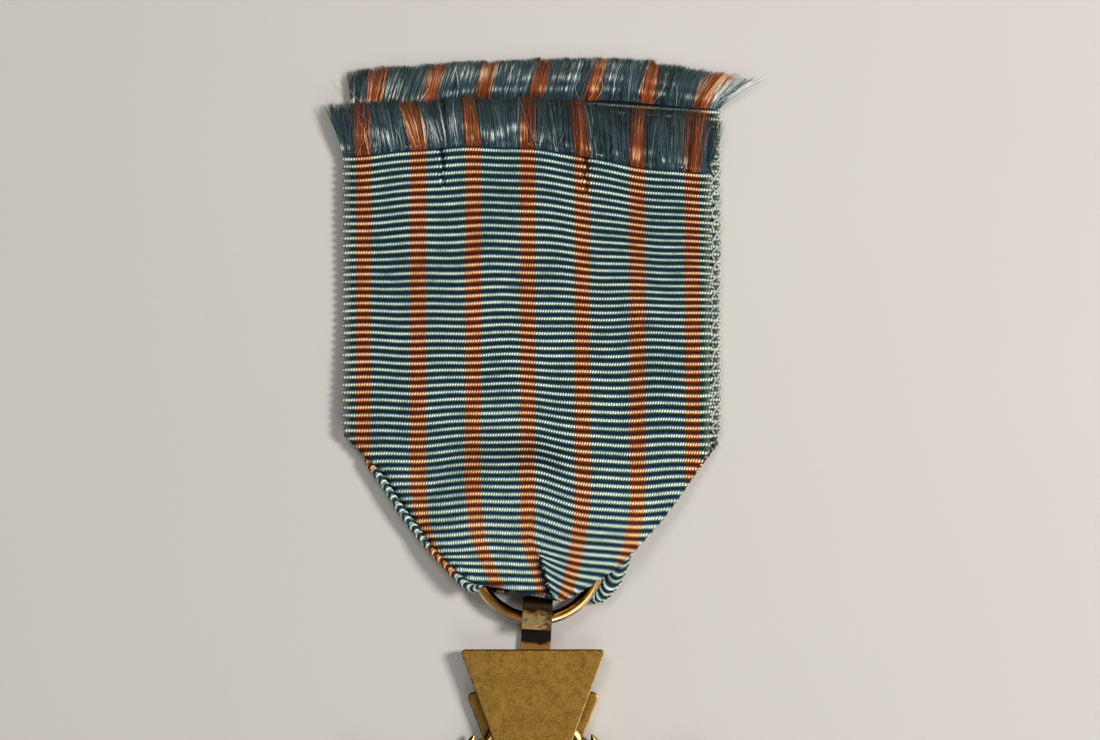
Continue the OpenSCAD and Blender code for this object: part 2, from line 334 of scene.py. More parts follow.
def wovenRayon():
    # grosgrain woven in rayon: silky warp threads over round cords; each rib gets painted shade on its sides
    # and a thin painted highlight on its crest, which the threads break up
    mat = newMaterial("wovenRayon")
    across, along, paintedLight, paintedShade = (addNode(mat, "Attribute", attribute_name=name).outputs["Fac"]
                                for name in ("across", "along", "paintedLight", "paintedShade"))
    where = addNode(mat, "TexCoord").outputs["Object"]
    ribs = addNode(mat, "Math", {0: along, 1: 1 / weave["rib"]}, operation="MULTIPLY")
    turn = addNode(mat, "Math", {0: ribs, 1: math.pi}, operation="MULTIPLY")
    wave = addNode(mat, "Math", {0: turn}, operation="SINE")
    crest = addNode(mat, "Math", {0: wave}, operation="ABSOLUTE")
    # the warp threads, drawn coarser than they are so that they show; they change places on every rib
    rib = addNode(mat, "Math", {0: ribs}, operation="FLOOR")
    swapped = addNode(mat, "Math", {0: rib, 1: math.pi}, operation="MULTIPLY")
    leaning = addNode(mat, "Math", {0: along, 1: 0.35, 2: across}, operation="MULTIPLY_ADD")
    threadTurn = addNode(mat, "Math", {0: leaning, 1: 2 * math.pi / weave["drawnThread"], 2: swapped},
                         operation="MULTIPLY_ADD")
    thread = addNode(mat, "Math", {0: threadTurn}, operation="SINE")
    # painted highlight: short lengths of a rib get a weaker painted highlight than the rest
    flat = addNode(mat, "CombineXYZ", {"X": across, "Y": along})
    stretched = addNode(mat, "VectorMath", {0: flat, 1: (0.55, 1 / weave["rib"], 0.0)},
                        operation="MULTIPLY")
    uneven = addNode(mat, "TexNoise", {"Vector": stretched, "Scale": 1.0, "Detail": 3.0})
    broad = addNode(mat, "TexNoise", {"Vector": where, "Scale": 130.0, "Detail": 2.0})
    fuzz = addNode(mat, "TexNoise", {"Vector": where, "Scale": 9000.0, "Detail": 1.0})
    narrow = addNode(mat, "MapRange", {"Value": paintedLight, "To Min": 7.5, "To Max": 2.5})
    line = addNode(mat, "Math", {0: crest, 1: narrow}, operation="POWER")
    highlightStrength = addNode(mat, "MapRange", {"Value": uneven, "From Min": 0.3, "From Max": 0.7,
                                        "To Min": 0.5, "To Max": 1.1})
    # painted light: broad patches where the painted highlight is stronger or weaker
    slope = addNode(mat, "MapRange", {"Value": broad, "From Min": 0.35, "From Max": 0.65,
                                      "To Min": 0.75, "To Max": 1.1})
    dashes = addNode(mat, "MapRange", {"Value": thread, "From Min": -0.8, "From Max": 0.9,
                                       "To Min": 0.1, "To Max": 1.6})
    held = addNode(mat, "Math", {0: highlightStrength, 1: slope}, operation="MULTIPLY")
    dashed = addNode(mat, "Math", {0: held, 1: dashes}, operation="MULTIPLY")
    bright = addNode(mat, "Math", {0: line, 1: dashed}, operation="MULTIPLY")
    # painted light along the slope: there the whole rib is painted paler and its painted highlight less sharp
    pale = addNode(mat, "Math", {0: paintedLight, 1: 0.12}, operation="MULTIPLY")
    side = addNode(mat, "Math", {0: crest, 1: 0.34, 2: pale}, operation="MULTIPLY_ADD")
    peak = addNode(mat, "MapRange", {"Value": paintedLight, "To Min": 0.68, "To Max": 0.46})
    both = addNode(mat, "Math", {0: bright, 1: peak, 2: side}, operation="MULTIPLY_ADD")
    speck = addNode(mat, "Math", {0: fuzz, 1: 0.5}, operation="SUBTRACT")
    shade = addNode(mat, "Math", {0: speck, 1: 0.34, 2: both}, operation="MULTIPLY_ADD")
    # the ramps turn each rib's painted shade and painted highlight into colour, near-black in the valley to
    # near-white on the crest
    colour = stripedColour(mat, across, shade, (0.0, 0.32, 0.6, 1.0),
                           ("#0d1a1e", "#243f47", "#8dacae", "#fafbec"),
                           ("#2c0f04", "#6e2f0f", "#c8844e", "#ffe6bc"), 0.05)
    # painted light: the upper side of each rib is tinted with the cool light of the room, the lower side with
    # the warm light of the lamp
    twice = addNode(mat, "Math", {0: ribs, 1: 2 * math.pi}, operation="MULTIPLY")
    upward = addNode(mat, "Math", {0: twice}, operation="SINE")
    cool = addNode(mat, "MapRange", {"Value": upward, "From Min": -0.7, "From Max": 0.7})
    paintedLightTint = addNode(mat, "Mix", {0: cool, 6: linear("#fff0cc"), 7: linear("#cfe4ff")},
                   data_type="RGBA").outputs[2]
    colour = addNode(mat, "Mix", {0: 1.0, 6: colour, 7: paintedLightTint},
                     data_type="RGBA", blend_type="MULTIPLY").outputs[2]
    # the woven edge is a little yellowed
    fromMiddle = addNode(mat, "Math", {0: across}, operation="ABSOLUTE")
    edge = addNode(mat, "MapRange", {"Value": fromMiddle, "From Min": weave["width"] / 2 - 0.9,
                                     "From Max": weave["width"] / 2, "To Max": 0.4})
    yellowed = addNode(mat, "Mix", {0: edge, 6: colour, 7: linear("#8b8c66")}, data_type="RGBA").outputs[2]
    # painted shade: needle holes, the pleat's crease, the hollow and other shaded places are darkened towards
    # near-black
    withPaintedShade = addNode(mat, "Mix", {0: paintedShade, 6: yellowed, 7: linear("#0d0f10")}, data_type="RGBA").outputs[2]
    rough = addNode(mat, "MapRange", {"Value": shade, "To Min": 0.7, "To Max": 0.4})
    gloss = addNode(mat, "MapRange", {"Value": shade, "From Min": 0.2, "To Min": 0.03, "To Max": 0.5})
    height = addNode(mat, "Math", {0: thread, 1: fuzz}, operation="ADD")
    bump = addNode(mat, "Bump", {"Height": height, "Distance": 0.00003, "Strength": 0.6})
    shader = addNode(mat, "BsdfPrincipled", {"Base Color": withPaintedShade, "Roughness": rough,
                                             "Specular IOR Level": gloss, "Normal": bump})
    return finishMaterial(mat, shader)


def looseRayon():
    # unwoven warp threads: silky, each one lighter or darker than the next, with painted highlight and
    # painted shade in the strand value
    mat = newMaterial("looseRayon")
    across, strand, tip = (addNode(mat, "Attribute", attribute_name=name).outputs["Fac"]
                           for name in ("across", "strand", "tip"))
    colour = stripedColour(mat, across, strand, (0.0, 0.5, 1.0), ("#142226", "#466068", "#eef4ec"),
                           ("#431a09", "#a5562a", "#ffd3a3"), 0.12)
    # the cut ends are faded and a little dusty
    dusty = addNode(mat, "MapRange", {"Value": tip, "From Min": 0.5, "To Max": 0.42})
    final = addNode(mat, "Mix", {0: dusty, 6: colour, 7: linear("#41463b")}, data_type="RGBA").outputs[2]
    shader = addNode(mat, "BsdfPrincipled", {"Base Color": final, "Roughness": 0.4,
                                             "Specular IOR Level": 0.2})
    return finishMaterial(mat, shader)


clothMaterial = wovenRayon()
threadMaterial = looseRayon()

frontLow, frontHigh = corners("front_panel")
backLow, backHigh = corners("back_panel")

frontLayer = {
    "left": frontLow[0], "right": frontHigh[0], "top": frontHigh[1],
    # foot of the front layer, from the left selvedge round to the right one
    "foot": [(-19.2, 39.6), (-16.3, 36.5), (-13.1, 31.8), (-9.8, 27.3), (-6.6, 24.7), (-3.4, 24.2),
             (0.4, 23.4), (2.9, 22.9), (5.7, 24.4), (9.5, 27.2), (14.1, 32.3), (18.0, 38.3)],
    # the turned edge under its left side
    "edge": [(-17.2, 37.0), (-16.3, 35.8), (-15.1, 34.2), (-13.4, 31.5), (-11.4, 28.9), (-9.2, 26.5),
             (-7.2, 24.4), (-6.0, 23.8), (-4.9, 24.1)],
    "peek": 0.5,           # how far the turned edge beneath shows past the left side
    "pleat": (0.5, 27.3),  # top of the pleat, and how far it leans to the right as it goes down
    "pleatLean": 0.27,
    "roll": 0.3,           # radius of the folded edge, at the cloth's middle
    "rollTurn": 2.3,       # how far round the edge goes, radians
    "gather": 0.38,        # share of the width lost at the V
    "lie": 1.0,            # height of the middle of the cloth at the cut end
    "overRing": 2.9,       # its height over the ring
}


def frontHeight(x, y):
    s = frontLayer
    # the layer rises over the ring and settles towards the cut end and the selvedges
    away = np.hypot(x - ringX, (y - ringY) * 0.9)
    over = 1 - smooth(away, 6.5, 17)
    slope = 1 - smooth(y, 30, 62)
    side = 1 - 0.55 * smooth(np.abs(x + 0.6), 11, 19)
    z = s["lie"] + (s["overRing"] - s["lie"]) * np.maximum(over, 0.5 * slope * side)
    # shallow hollow across the middle, just above the bend, and soft waves
    z -= 0.35 * np.exp(-((y - 38.0) / 2.2) ** 2 - ((x - 1.0) / 5.5) ** 2)
    z += 0.10 * np.sin(0.33 * x + 0.7) * np.sin(0.21 * y) + 0.06 * np.sin(0.8 * x - 0.35 * y)
    # room for the bail under the lowest point when the cross sways
    z += 0.3 * np.exp(-((x - 3.2) / 2.4) ** 2 - ((y - 23.4) / 1.8) ** 2)
    return z


def gathering(y, most):
    # how much narrower the ribbon has become where it is drawn towards the ring
    return 1 - most * np.clip((36 - y) / 13, 0, 1.15) ** 2


def frontPlace(across, along):
    # where the flat cloth goes before its foot is folded under
    s = frontLayer
    y = s["top"] - along
    y = y - 0.07 * np.clip(33 - y, 0, None)
    x = (s["left"] + s["right"]) / 2 + across * gathering(y, s["gather"])
    # the cut end was pulled up left of the middle and hangs down to the right
    pulled = smooth(y, 48, 68)
    y = y - 1.7 * smooth(across, -2, 18.5) ** 1.5 * pulled
    y = y + 1.05 * np.exp(-((across + 4.5) / 8.5) ** 2) * pulled
    y = y + 0.07 * np.sin(0.42 * across + 0.12 * along) + 0.05 * np.sin(0.9 * across - 0.2 * along + 1.0)
    # towards the V the ribs fall away to the right of the middle, and less so to its left
    low = 1 - smooth(y, 31, 50)
    turn = 1.1 + 0.8 * smooth(y, 28, 36)
    dropRight = 2.0 * (1 - np.exp(-(np.clip(x + 0.3, 0, None) / 4.6) ** turn)) * (1 - 0.3 * smooth(x, 8, 18))
    y = y - low * (dropRight + 0.55 * smooth(-x, 1.5, 14))
    foot = 1 - smooth(y, 25.5, 28.5)
    pastPleat = x - pleatAt(y)
    hitched = 0.9 * np.exp(-np.clip(pastPleat, 0, None) / 1.6) * (pastPleat > 0)
    y = y + foot * (hitched + 0.45 * smooth(-x, 3, 9))
    return x, y


def pleatAt(y):
    x, top = frontLayer["pleat"]
    return x + frontLayer["pleatLean"] * np.clip(top - y, 0, None)


def foldInset(s):
    # from the outline of a foot in to the line where it starts to turn
    return s["roll"] + weave["core"] + weave["ribHeight"] * 0.8


def rollFoot(s, x, y, base, outward, over, most):
    # cloth past the start of the fold goes round it, and what would go further than most is cut away
    rolled = (over > 0) & (y < s["foot"][0][1] + 0.6)
    turn = np.clip(over / s["roll"], 0, most)
    bent = base + outward * (s["roll"] * np.sin(turn))[..., None]
    x = np.where(rolled, bent[..., 0], x)
    y = np.where(rolled, bent[..., 1], y)
    return x, y, rolled, s["roll"] * (1 - np.cos(turn)), rolled & (over / s["roll"] > most)


def frontSurface(across, along):
    s = frontLayer
    x, y = frontPlace(across, along)
    z = frontHeight(x, y)
    # centre pleat: the left half is drawn towards it and slides in under the right half
    depth = 1 - smooth(y, 26.3, 28.2)
    t = x - pleatAt(y)
    z = z + depth * np.where(t < 0, -0.75 * np.exp(t / 1.3), 0.3 * np.exp(-t / 1.5) * smooth(t, -0.1, 0.25))
    x = x + np.where(t < 0, 0.36 * np.clip(29 - y, 0, None) * np.exp(t / 9), 0)
    shadow = x - pleatAt(y)
    # painted shade along the pleat's crease, which reaches further where the left half has slid under the
    # right
    fading = np.where(t < 0, np.minimum(shadow, 0) / 0.55, t / 0.12)
    paintedCreaseShade = 1.1 * depth * np.exp(-fading ** 2)
    inside, place, outward = nearestOnLine(throughPoints(s["foot"]), x, y)
    # the left side shows the turned edge beneath, and the roll is shorter over the bail
    footX, footY = place[..., 0], place[..., 1]
    slanting = smooth(footY, 23.8, 25.2) * (1 - smooth(footY, 35.0, 37.5)) * (footX < 0)
    inset = foldInset(s) + s["peek"] * slanting
    most = s["rollTurn"] - 0.9 * np.exp(-((footX - 3.2) / 2.4) ** 2)
    base = place - outward * inset[..., None]
    x, y, rolled, dip, gone = rollFoot(s, x, y, base, outward, inset - inside, most)
    z = np.where(rolled, frontHeight(base[..., 0], base[..., 1]) - dip, z)
    return np.stack([x, y, z], 2), gone | ((t < 0) & (shadow > 0.5)), paintedCreaseShade


needleMarks = {"columns": ((-8.5, 1.2), (5.9, 1.2)), "count": 5, "step": 0.727, "radius": 0.26, "depth": 0.4}


def clothGrid(length, rowsPerRib):
    # grid lines along and across the ribs, closest at the selvedges, at the pleat and round the needle marks
    half = weave["width"] / 2
    column = weave["column"]
    marked = [u for u, _ in needleMarks["columns"]]
    inner = np.concatenate([np.arange(-half + 0.45, -2, column), np.arange(-2, 3.5, column * 0.4),
                            np.arange(3.5, half - 0.44, column)])
    clear = [min(abs(c - u) for u in marked) > 1.0 for c in inner]
    inner = np.sort(np.concatenate([u + np.arange(-0.9, 0.95, 0.15) for u in marked] + [inner[clear]]))
    rim = half - np.array([0, 0.05, 0.14, 0.27])
    columns = np.concatenate([-rim, inner, rim[::-1]])
    rows = np.arange(0, round(length / weave["rib"]) * rowsPerRib + 1) * weave["rib"] / rowsPerRib
    return np.meshgrid(columns, rows)


def scallop(middle, across, along):
    # the weft turns round at the end of each rib, so the selvedge is scalloped
    near = smooth(np.abs(across), weave["width"] / 2 - 0.6, weave["width"] / 2)
    out = unit(np.gradient(middle, axis=1))
    bulge = weave["scallop"] * (ribAt(along) - 0.75) * near * np.sign(across)
    return middle + out * bulge[..., None]


def needleHoles(across, along):
    # where a pin went through, a short column of ribs is pushed apart; the topmost gaps are the widest
    s = needleMarks
    mark = np.zeros_like(across)
    for u, w in s["columns"]:
        for k in range(s["count"]):
            wide = s["radius"] * (1.2 - 0.17 * k)
            du = across - u - 0.15 * math.sin(2.4 * k + u)
            dw = along - w - k * s["step"]
            mark = np.maximum(mark, np.exp(-(du / wide) ** 2 - (dw / (s["radius"] * 1.5)) ** 4))
    return mark


def tubeFaces(count, sides):
    # faces of a tube whose points go round it in rings
    index = np.arange(count * sides).reshape(count, sides)
    after = np.roll(index, -1, axis=1)
    return np.stack([index[:-1], after[:-1], after[1:], index[1:]], 2).reshape(-1, 4)


def acrossLine(line):
    # the level direction and the upward one square to a line
    tangent = unit(np.gradient(line, axis=-2))
    sideways = unit(np.cross(tangent, [0.0, 0.0, 1.0]))
    return sideways, np.cross(sideways, tangent)


def tube(line, radius, values, sides=6):
    # a thread along a line, all but closed at both ends
    sideways, upward = acrossLine(line)
    a = np.linspace(0, 2 * math.pi, sides, endpoint=False)[None, :, None]
    size = np.full(len(line), radius)
    size[0] = size[-1] = radius * 0.1
    outward = np.cos(a) * sideways[:, None] + np.sin(a) * upward[:, None]
    rings = line[:, None] + size[:, None, None] * outward
    values = {k: np.repeat(np.broadcast_to(v, len(line)), sides) for k, v in values.items()}
    return rings.reshape(-1, 3), tubeFaces(len(line), sides), values


def edgeLine(path, step):
    # a smooth line, its direction and its right-hand side, and the distance along it
    line = throughPoints(path, step)
    tangent = unit(np.gradient(line, axis=0))
    return line, tangent, np.stack([tangent[:, 1], -tangent[:, 0]], 1), runAlong(line)


# the last two values are the painted light and the painted shade of the loops
chain = {"spread": 0.45, "radius": 0.1, "height": 0.5, "lift": 0.07, "skew": 0.15, "paintedLight": 0.3, "dark": 0.35}


def chainEdge(path):
    # the weft's two turns cross at the selvedge and make a chain of small loops, one to every two ribs
    s = chain
    line, tangent, outward, run = edgeLine(path, 0.07)
    phase = math.pi * run / (2 * weave["rib"])
    values = {"across": 3.0, "along": weave["rib"] / 2, "paintedLight": s["paintedLight"], "paintedShade": s["dark"]}
    out = []
    for way in (1, -1):
        wave = np.sin(phase) * way
        aside = (s["spread"] * wave - s["spread"])[:, None]
        flat = line + outward * aside + tangent * (way * wave * s["skew"])[:, None]
        z = s["height"] + s["lift"] * np.cos(phase) * way
        out.append(tube(np.column_stack([flat, z]), s["radius"], values))
    return out


def turnedEdge(path, radius, pitch, lean, height, acrossAt, paintedLight):
    # the edge of a fold seen from outside: ribs wrapped round it like the strands of a rope, with an even
    # painted light set by the last argument
    line, _, outward, run = edgeLine(path, 0.09)
    sides = 16
    phi = np.linspace(0, 2 * math.pi, sides, endpoint=False)[None]
    phase = (run[:, None] / pitch + lean * np.cos(phi)) * weave["rib"]
    taper = np.sqrt(np.clip(np.minimum(run, run[-1] - run) / 0.8, 0.0, 1))[:, None]
    size = radius * taper * (0.72 + 0.42 * ribAt(phase) ** 0.7)
    centre = line - outward * radius
    x = centre[:, :1] + outward[:, :1] * size * np.sin(phi)
    y = centre[:, 1:] + outward[:, 1:] * size * np.sin(phi)
    z = height(centre[:, 0], centre[:, 1])[:, None] + 0.75 * size * np.cos(phi)
    values = {"across": np.repeat(acrossAt(line[:, 0], line[:, 1]), sides), "along": phase.ravel(),
              "paintedLight": np.full(x.size, paintedLight), "paintedShade": np.zeros(x.size)}
    return np.stack([x, y, z], 2).reshape(-1, 3), tubeFaces(len(line), sides), values


def underFront(x, y):
    return frontHeight(x, y) - 0.42


def frontAcross(x, y):
    # which thread of the front layer lies at a place
    s = frontLayer
    return (x - (s["left"] + s["right"]) / 2) / gathering(y, s["gather"])


def bulgeHeight(x, y):
    return np.full_like(x, backLayer["bulgeLie"])


def bulgeAcross(x, y):
    # all ground colour, with no stripe
    return np.full_like(x, 3.0)


def cellsLeft(gone):
    return ~(gone[:-1, :-1] | gone[1:, 1:] | gone[:-1, 1:] | gone[1:, :-1])


def makeFrontLayer():
    s = frontLayer
    across, along = clothGrid(s["top"] - 20, weave["rowsPerRib"])
    middle, gone, paintedCreaseShade = frontSurface(across, along)
    holes = needleHoles(across, along)
    middle[..., 2] -= needleMarks["depth"] * holes
    # painted light on the ribs of the V and in a patch above its left side, and less painted light in the
    # hollow below that
    y = s["top"] - along
    paintedLight = 0.08 + 0.62 * (1 - smooth(y, 29, 44))
    paintedLight += 0.45 * np.exp(-((across + 2.5) / 4.5) ** 2 - ((y - 41.5) / 1.5) ** 2)
    paintedLight -= 0.45 * np.exp(-((across - 1.0) / 3.8) ** 2 - ((y - 37.5) / 1.9) ** 2)
    middle = scallop(middle, across, along)
    # painted shade: the hollow is darkened, and so are the needle holes and the pleat's crease
    hollow = 0.42 * np.exp(-((across + 1.0) / 4.6) ** 2 - ((y - 37.6) / 1.5) ** 2)
    dark = np.clip(holes * 1.3 + paintedCreaseShade + hollow, 0, 1)
    shells = [clothShell(middle, across, along, cellsLeft(gone), paintedLight=np.clip(paintedLight, 0, 1), paintedShade=dark),
              turnedEdge(s["edge"], 0.43, 0.86, 1.0, underFront, frontAcross, 0.9)]
    piece = meshPiece("ribbonFront", *joinShells(shells), clothMaterial)
    return piece


backLayer = {
    "left": backLow[0], "right": backHigh[0], "top": backHigh[1],
    "foot": [(-18.3, 39.0), (-12.6, 31.6), (-8.9, 27.6), (-7.0, 24.8), (-5.2, 24.0), (-3.4, 23.6),
             (-1.9, 23.8), (0.4, 24.8), (3.4, 24.9), (4.9, 23.4), (6.4, 23.2), (8.0, 24.4), (9.6, 27.3),
             (14.2, 32.6), (18.7, 38.6)],
    # the bulge to the right of the ring, from its foot up
    "bulge": [(4.9, 23.4), (5.6, 22.8), (6.4, 22.6), (7.4, 23.0), (8.4, 24.1), (9.1, 25.3), (9.7, 26.8),
              (9.9, 28.4)],
    "roll": 0.22,
    "rollTurn": 2.6,
    "gather": 0.3,
    "lie": 0.34,
    "bulgeLie": 0.72,
}


def backRise(across):
    # the cut end of the back layer stands higher towards the middle
    return 1.3 * smooth(across, -14, -5) - 0.85 * smooth(across, 6, 18.5)


def makeBackLayer():
    s = backLayer
    across, along = clothGrid(s["top"] - 20, weave["backRowsPerRib"])
    y = s["top"] - along
    middle = (s["left"] + s["right"]) / 2
    x = middle + across * gathering(y, s["gather"])
    y = y + backRise(across) * smooth(y, 52, 70) + 0.08 * np.sin(0.5 * across + 0.1 * along)
    z = s["lie"] + 0.04 * np.sin(0.6 * x + 0.2 * y) + np.zeros_like(x)
    inside, place, outward = nearestOnLine(throughPoints(s["foot"]), x, y)
    base = place - outward * foldInset(s)
    x, y, rolled, dip, gone = rollFoot(s, x, y, base, outward, foldInset(s) - inside, s["rollTurn"])
    z = np.where(rolled, s["lie"] + dip, z)
    surface = scallop(np.stack([x, y, z], 2), across, along)
    selvedge = [(s["right"] + 0.05 + 0.06 * math.sin(0.8 * k), 39.3 + 2.0 * k) for k in range(16)]
    # painted shade: the last ribs before the frayed threads are darkened where the threads shade them, all
    # but their ends
    shade = 0.8 * (1 - smooth(along, 1.3, 1.6)) * (1 - smooth(across, 16.2, 17.4))
    shells = [clothShell(surface, across, along, cellsLeft(gone), paintedShade=shade), gatheredLoop(),
              turnedEdge(s["bulge"], 0.85, 0.9, 1.3, bulgeHeight, bulgeAcross, 0.7)]
    shells.extend(chainEdge(selvedge))
    piece = meshPiece("ribbonBack", *joinShells(shells), clothMaterial)
    return piece


# half the angle it takes up on the ring in degrees, and the rest in mm
loop = {"angle": 50, "turn": 0.95, "clear": 0.32, "pleats": 5, "pleatDepth": 0.16}


def gatheredLoop():
    # the strip drawn together into pleats where it runs through the ring, from the front layer to the back
    s = loop
    low, high = corners("ring_loop")
    radius = ringY - low[1] - s["clear"]
    zLow, zHigh = backLayer["lie"] + 0.3, high[2] - 0.25
    rise = (zHigh - zLow) / 2
    angle = np.radians(np.linspace(-s["angle"], s["angle"], 121))
    rows = np.arange(0, 5 * weave["rowsPerRib"] + 1) / (5 * weave["rowsPerRib"])
    a, t = np.meshgrid(angle, rows)
    phi = np.pi * t
    pleat = s["pleatDepth"] * np.sin(s["pleats"] * 2 * np.pi * (a - angle[0]) / (angle[-1] - angle[0]))
    out = radius - s["turn"] + (s["turn"] + pleat * 0.5) * np.sin(phi)
    z = (zLow + zHigh) / 2 + (rise + pleat * 0.4) * np.cos(phi)
    middle = np.stack([ringX + out * np.sin(a), ringY - out * np.cos(a), z], 2)
    across = a / angle[-1] * weave["width"] / 2 * 0.8
    along = t * 5 * weave["rib"]
    keep = np.ones((len(rows) - 1, len(angle) - 1), bool)
    return clothShell(middle, across, along, keep, thin=0.7)


front = makeFrontLayer()
print("front layer of the ribbon made", len(front.data.polygons), "faces")
back = makeBackLayer()
print("back layer and loop of the ribbon made", len(back.data.polygons), "faces")

# filaments to a warp thread, their radius in mm, and the share of them that stray
fray = {"filaments": 16, "radius": 0.036, "sides": 3, "steps": 8, "stray": 0.006}


def silkToneAndShine(rng, across, layer, t, bands, seed):
    # painted highlight in bands where the filaments bend, and painted shade where a band's strength is below
    # zero; the painted highlight breaks up from tuft to tuft, and a few filaments are paler
    n = len(across)
    shine = np.zeros((n, t.size))
    dim = np.zeros((n, t.size))
    for at, wide, much, where, reachAcross in bands:
        local = np.exp(-((across - where) / reachAcross) ** 2)[:, None] if reachAcross else 1.0
        middle = at + 0.05 * np.sin(1.3 * across + at * 9)[:, None]
        patch = much * local * np.exp(-((t - middle) / wide) ** 2)
        shine = np.maximum(shine, patch)
        dim = np.minimum(dim, patch)
    tuft = smooth(np.sin(across * 15 + 2.2 * np.sin(across * 2.9) + layer), -0.2, 0.8)
    gloss = np.clip(rng.beta(1.2, 1.6, n) * 0.45 + 0.75 * tuft, 0, 1)[:, None]
    cloud = 0.5 + 0.5 * np.sin(across * 2.3 + 1.7 * np.sin(across * 0.8 + seed))
    lock = np.sin(across * 9 + 2.5 * np.sin(across * 1.7) + 2 * layer)
    pale = rng.uniform(0, 1, n) < 0.05
    tone = (0.04 + 0.13 * cloud + 0.09 * lock + 0.22 * rng.beta(2.0, 2.0, n) + 0.3 * pale)[:, None]
    return tone + shine * gloss + dim


def frayedEnd(name, root, combed, rise, bands, seed):
    # the loose filaments of each warp thread; combed says how they lie and bands where they get painted
    # highlight and painted shade
    s = fray
    rng = np.random.default_rng(seed)
    half = weave["width"] / 2 - 0.05
    across = np.repeat(np.arange(-half, half, weave["thread"]), s["filaments"])
    across = np.clip(across + rng.normal(0, 0.06, len(across)), -half, half)
    n = len(across)
    x0, y0, z0 = root(across)
    place, length, lean, scatter = np.array(combed).T
    # neighbours were combed the same way; a few filaments stray across the others
    k = np.arange(1, 9)[:, None]
    size = rng.normal(0, 1, (8, 1))
    wander = (size * np.sin(0.55 * k * across[None] + rng.uniform(0, 6, (8, 1))) / np.sqrt(k)).sum(0)
    stray = rng.uniform(0, 1, n) < s["stray"]
    reach = np.interp(across, place, length) * (1 + 0.02 * wander) * rng.normal(1.0, 0.025, n)
    reach = np.where(stray, reach * rng.uniform(0.5, 1.05, n), reach)
    spread = np.interp(across, place, scatter)
    slant = np.interp(across, place, lean) + 0.07 * wander + spread * rng.normal(0, 1, n)
    slant = slant + stray * rng.normal(0, 0.45, n)
    layer = np.where(stray, 1.15, rng.uniform(0, 1, n))
    t = np.linspace(0, 1, s["steps"] + 1)[None] ** 1.35
    curl = (rng.normal(0, 0.09, n) + stray * rng.normal(0, 0.5, n))[:, None] * np.sin(np.pi * t)
    x = x0[:, None] + slant[:, None] * reach[:, None] * t ** 1.3 + curl
    y = y0[:, None] - 0.5 + (reach[:, None] + 0.5) * t
    z = z0[:, None] + (layer[:, None] - 0.5) * 0.42 + rise * np.sin(np.pi * np.minimum(t * 0.75 + 0.05, 1))
    z = np.maximum(z + rng.normal(0, 0.05, n)[:, None] * t ** 2 - 0.25 * t ** 2, 0.07)
    line = np.stack([x, y, z], 2)
    sideways, upward = acrossLine(line)
    thin = s["radius"] * np.sqrt(np.clip(1.02 - t[..., None] ** 6, 0.05, 1))
    a = 2 * math.pi * np.arange(s["sides"]) / s["sides"] + math.pi / 2
    rings = [line + thin * (math.cos(v) * sideways + math.sin(v) * upward) for v in a]
    points = np.stack(rings, 2)                      # strand, step, side, xyz
    perStrand = t.size * s["sides"]
    faces = tubeFaces(t.size, s["sides"]) + perStrand * np.arange(n)[:, None, None]
    dusty = 1 - 0.9 * smooth(spread, 0.1, 0.3)
    tone = silkToneAndShine(rng, across, layer, t, bands, seed) + (stray * 0.3 + (1 - dusty) * 0.2)[:, None]
    values = {"across": np.repeat(across, perStrand),
              "strand": np.repeat(np.clip(tone, 0, 1).ravel(), s["sides"]),
              "tip": np.repeat((t * dusty[:, None]).ravel(), s["sides"])}
    piece = meshPiece(name, points.reshape(-1, 3), faces.reshape(-1, 4), values, threadMaterial)
    return piece


def frontRoot(across):
    x, y = frontPlace(across, np.full_like(across, 0.25))
    return x, y, frontHeight(x, y)


def backRoot(across):
    x = (backLayer["left"] + backLayer["right"]) / 2 + across
    y = backLayer["top"] - 0.2 + backRise(across)
    return x, y, np.full_like(x, backLayer["lie"])


# each row: place across the ribbon, length of the threads there, their lean to the right and its scatter
frontCombed = [(-18.5, 4.7, -0.30, 0.08), (-16.5, 4.8, 0.02, 0.05), (-11.0, 4.4, -0.38, 0.06),
               (-7.5, 4.3, -0.16, 0.05), (0.0, 4.5, -0.04, 0.03), (5.5, 5.0, -0.14, 0.04),
               (11.0, 5.2, 0.0, 0.05), (16.5, 5.6, 0.05, 0.04), (18.5, 4.6, 0.14, 0.12)]
backCombed = [(-18.5, 3.7, -0.02, 0.1), (-16.5, 4.2, 0.22, 0.06), (-11.0, 4.2, 0.34, 0.05),
              (-5.5, 3.4, 0.27, 0.05), (0.0, 3.7, 0.24, 0.04), (5.5, 3.75, 0.30, 0.04),
              (11.0, 3.7, 0.22, 0.05), (14.0, 3.4, 0.36, 0.08), (16.5, 3.0, 0.72, 0.2),
              (18.5, 2.5, 1.05, 0.4)]
# each band of painted highlight, or of painted shade where its strength is below zero: how far along the
# threads it lies, its width and strength, where across the ribbon it is strongest and how far it reaches from
# there, with 0 for all the way
frontBands = [(0.14, 0.035, 0.8, 0, 0), (0.32, 0.09, 0.9, -2, 6), (0.42, 0.3, 1.0, -9.5, 3.0),
              (0.28, 0.08, 0.6, 11, 4), (0.36, 0.12, 0.9, -14.5, 2.5), (0.62, 0.08, 0.4, 9, 5),
              (0.5, 0.6, -0.14, 7, 6)]
backBands = [(0.28, 0.05, 0.9, 0, 0), (0.50, 0.07, 0.8, 4, 12), (0.72, 0.22, 0.9, -7, 5),
             (0.85, 0.15, 0.7, 6, 5), (0.7, 0.5, 1.0, 17.8, 2.3), (0.5, 0.3, 0.7, -15.5, 2.5)]
frontFringe = frayedEnd("fringeFront", frontRoot, frontCombed, 0.5, frontBands, 11)
backFringe = frayedEnd("fringeBack", backRoot, backCombed, 0.55, backBands, 23)
print("frayed ends made", len(frontFringe.data.polygons) + len(backFringe.data.polygons), "faces")

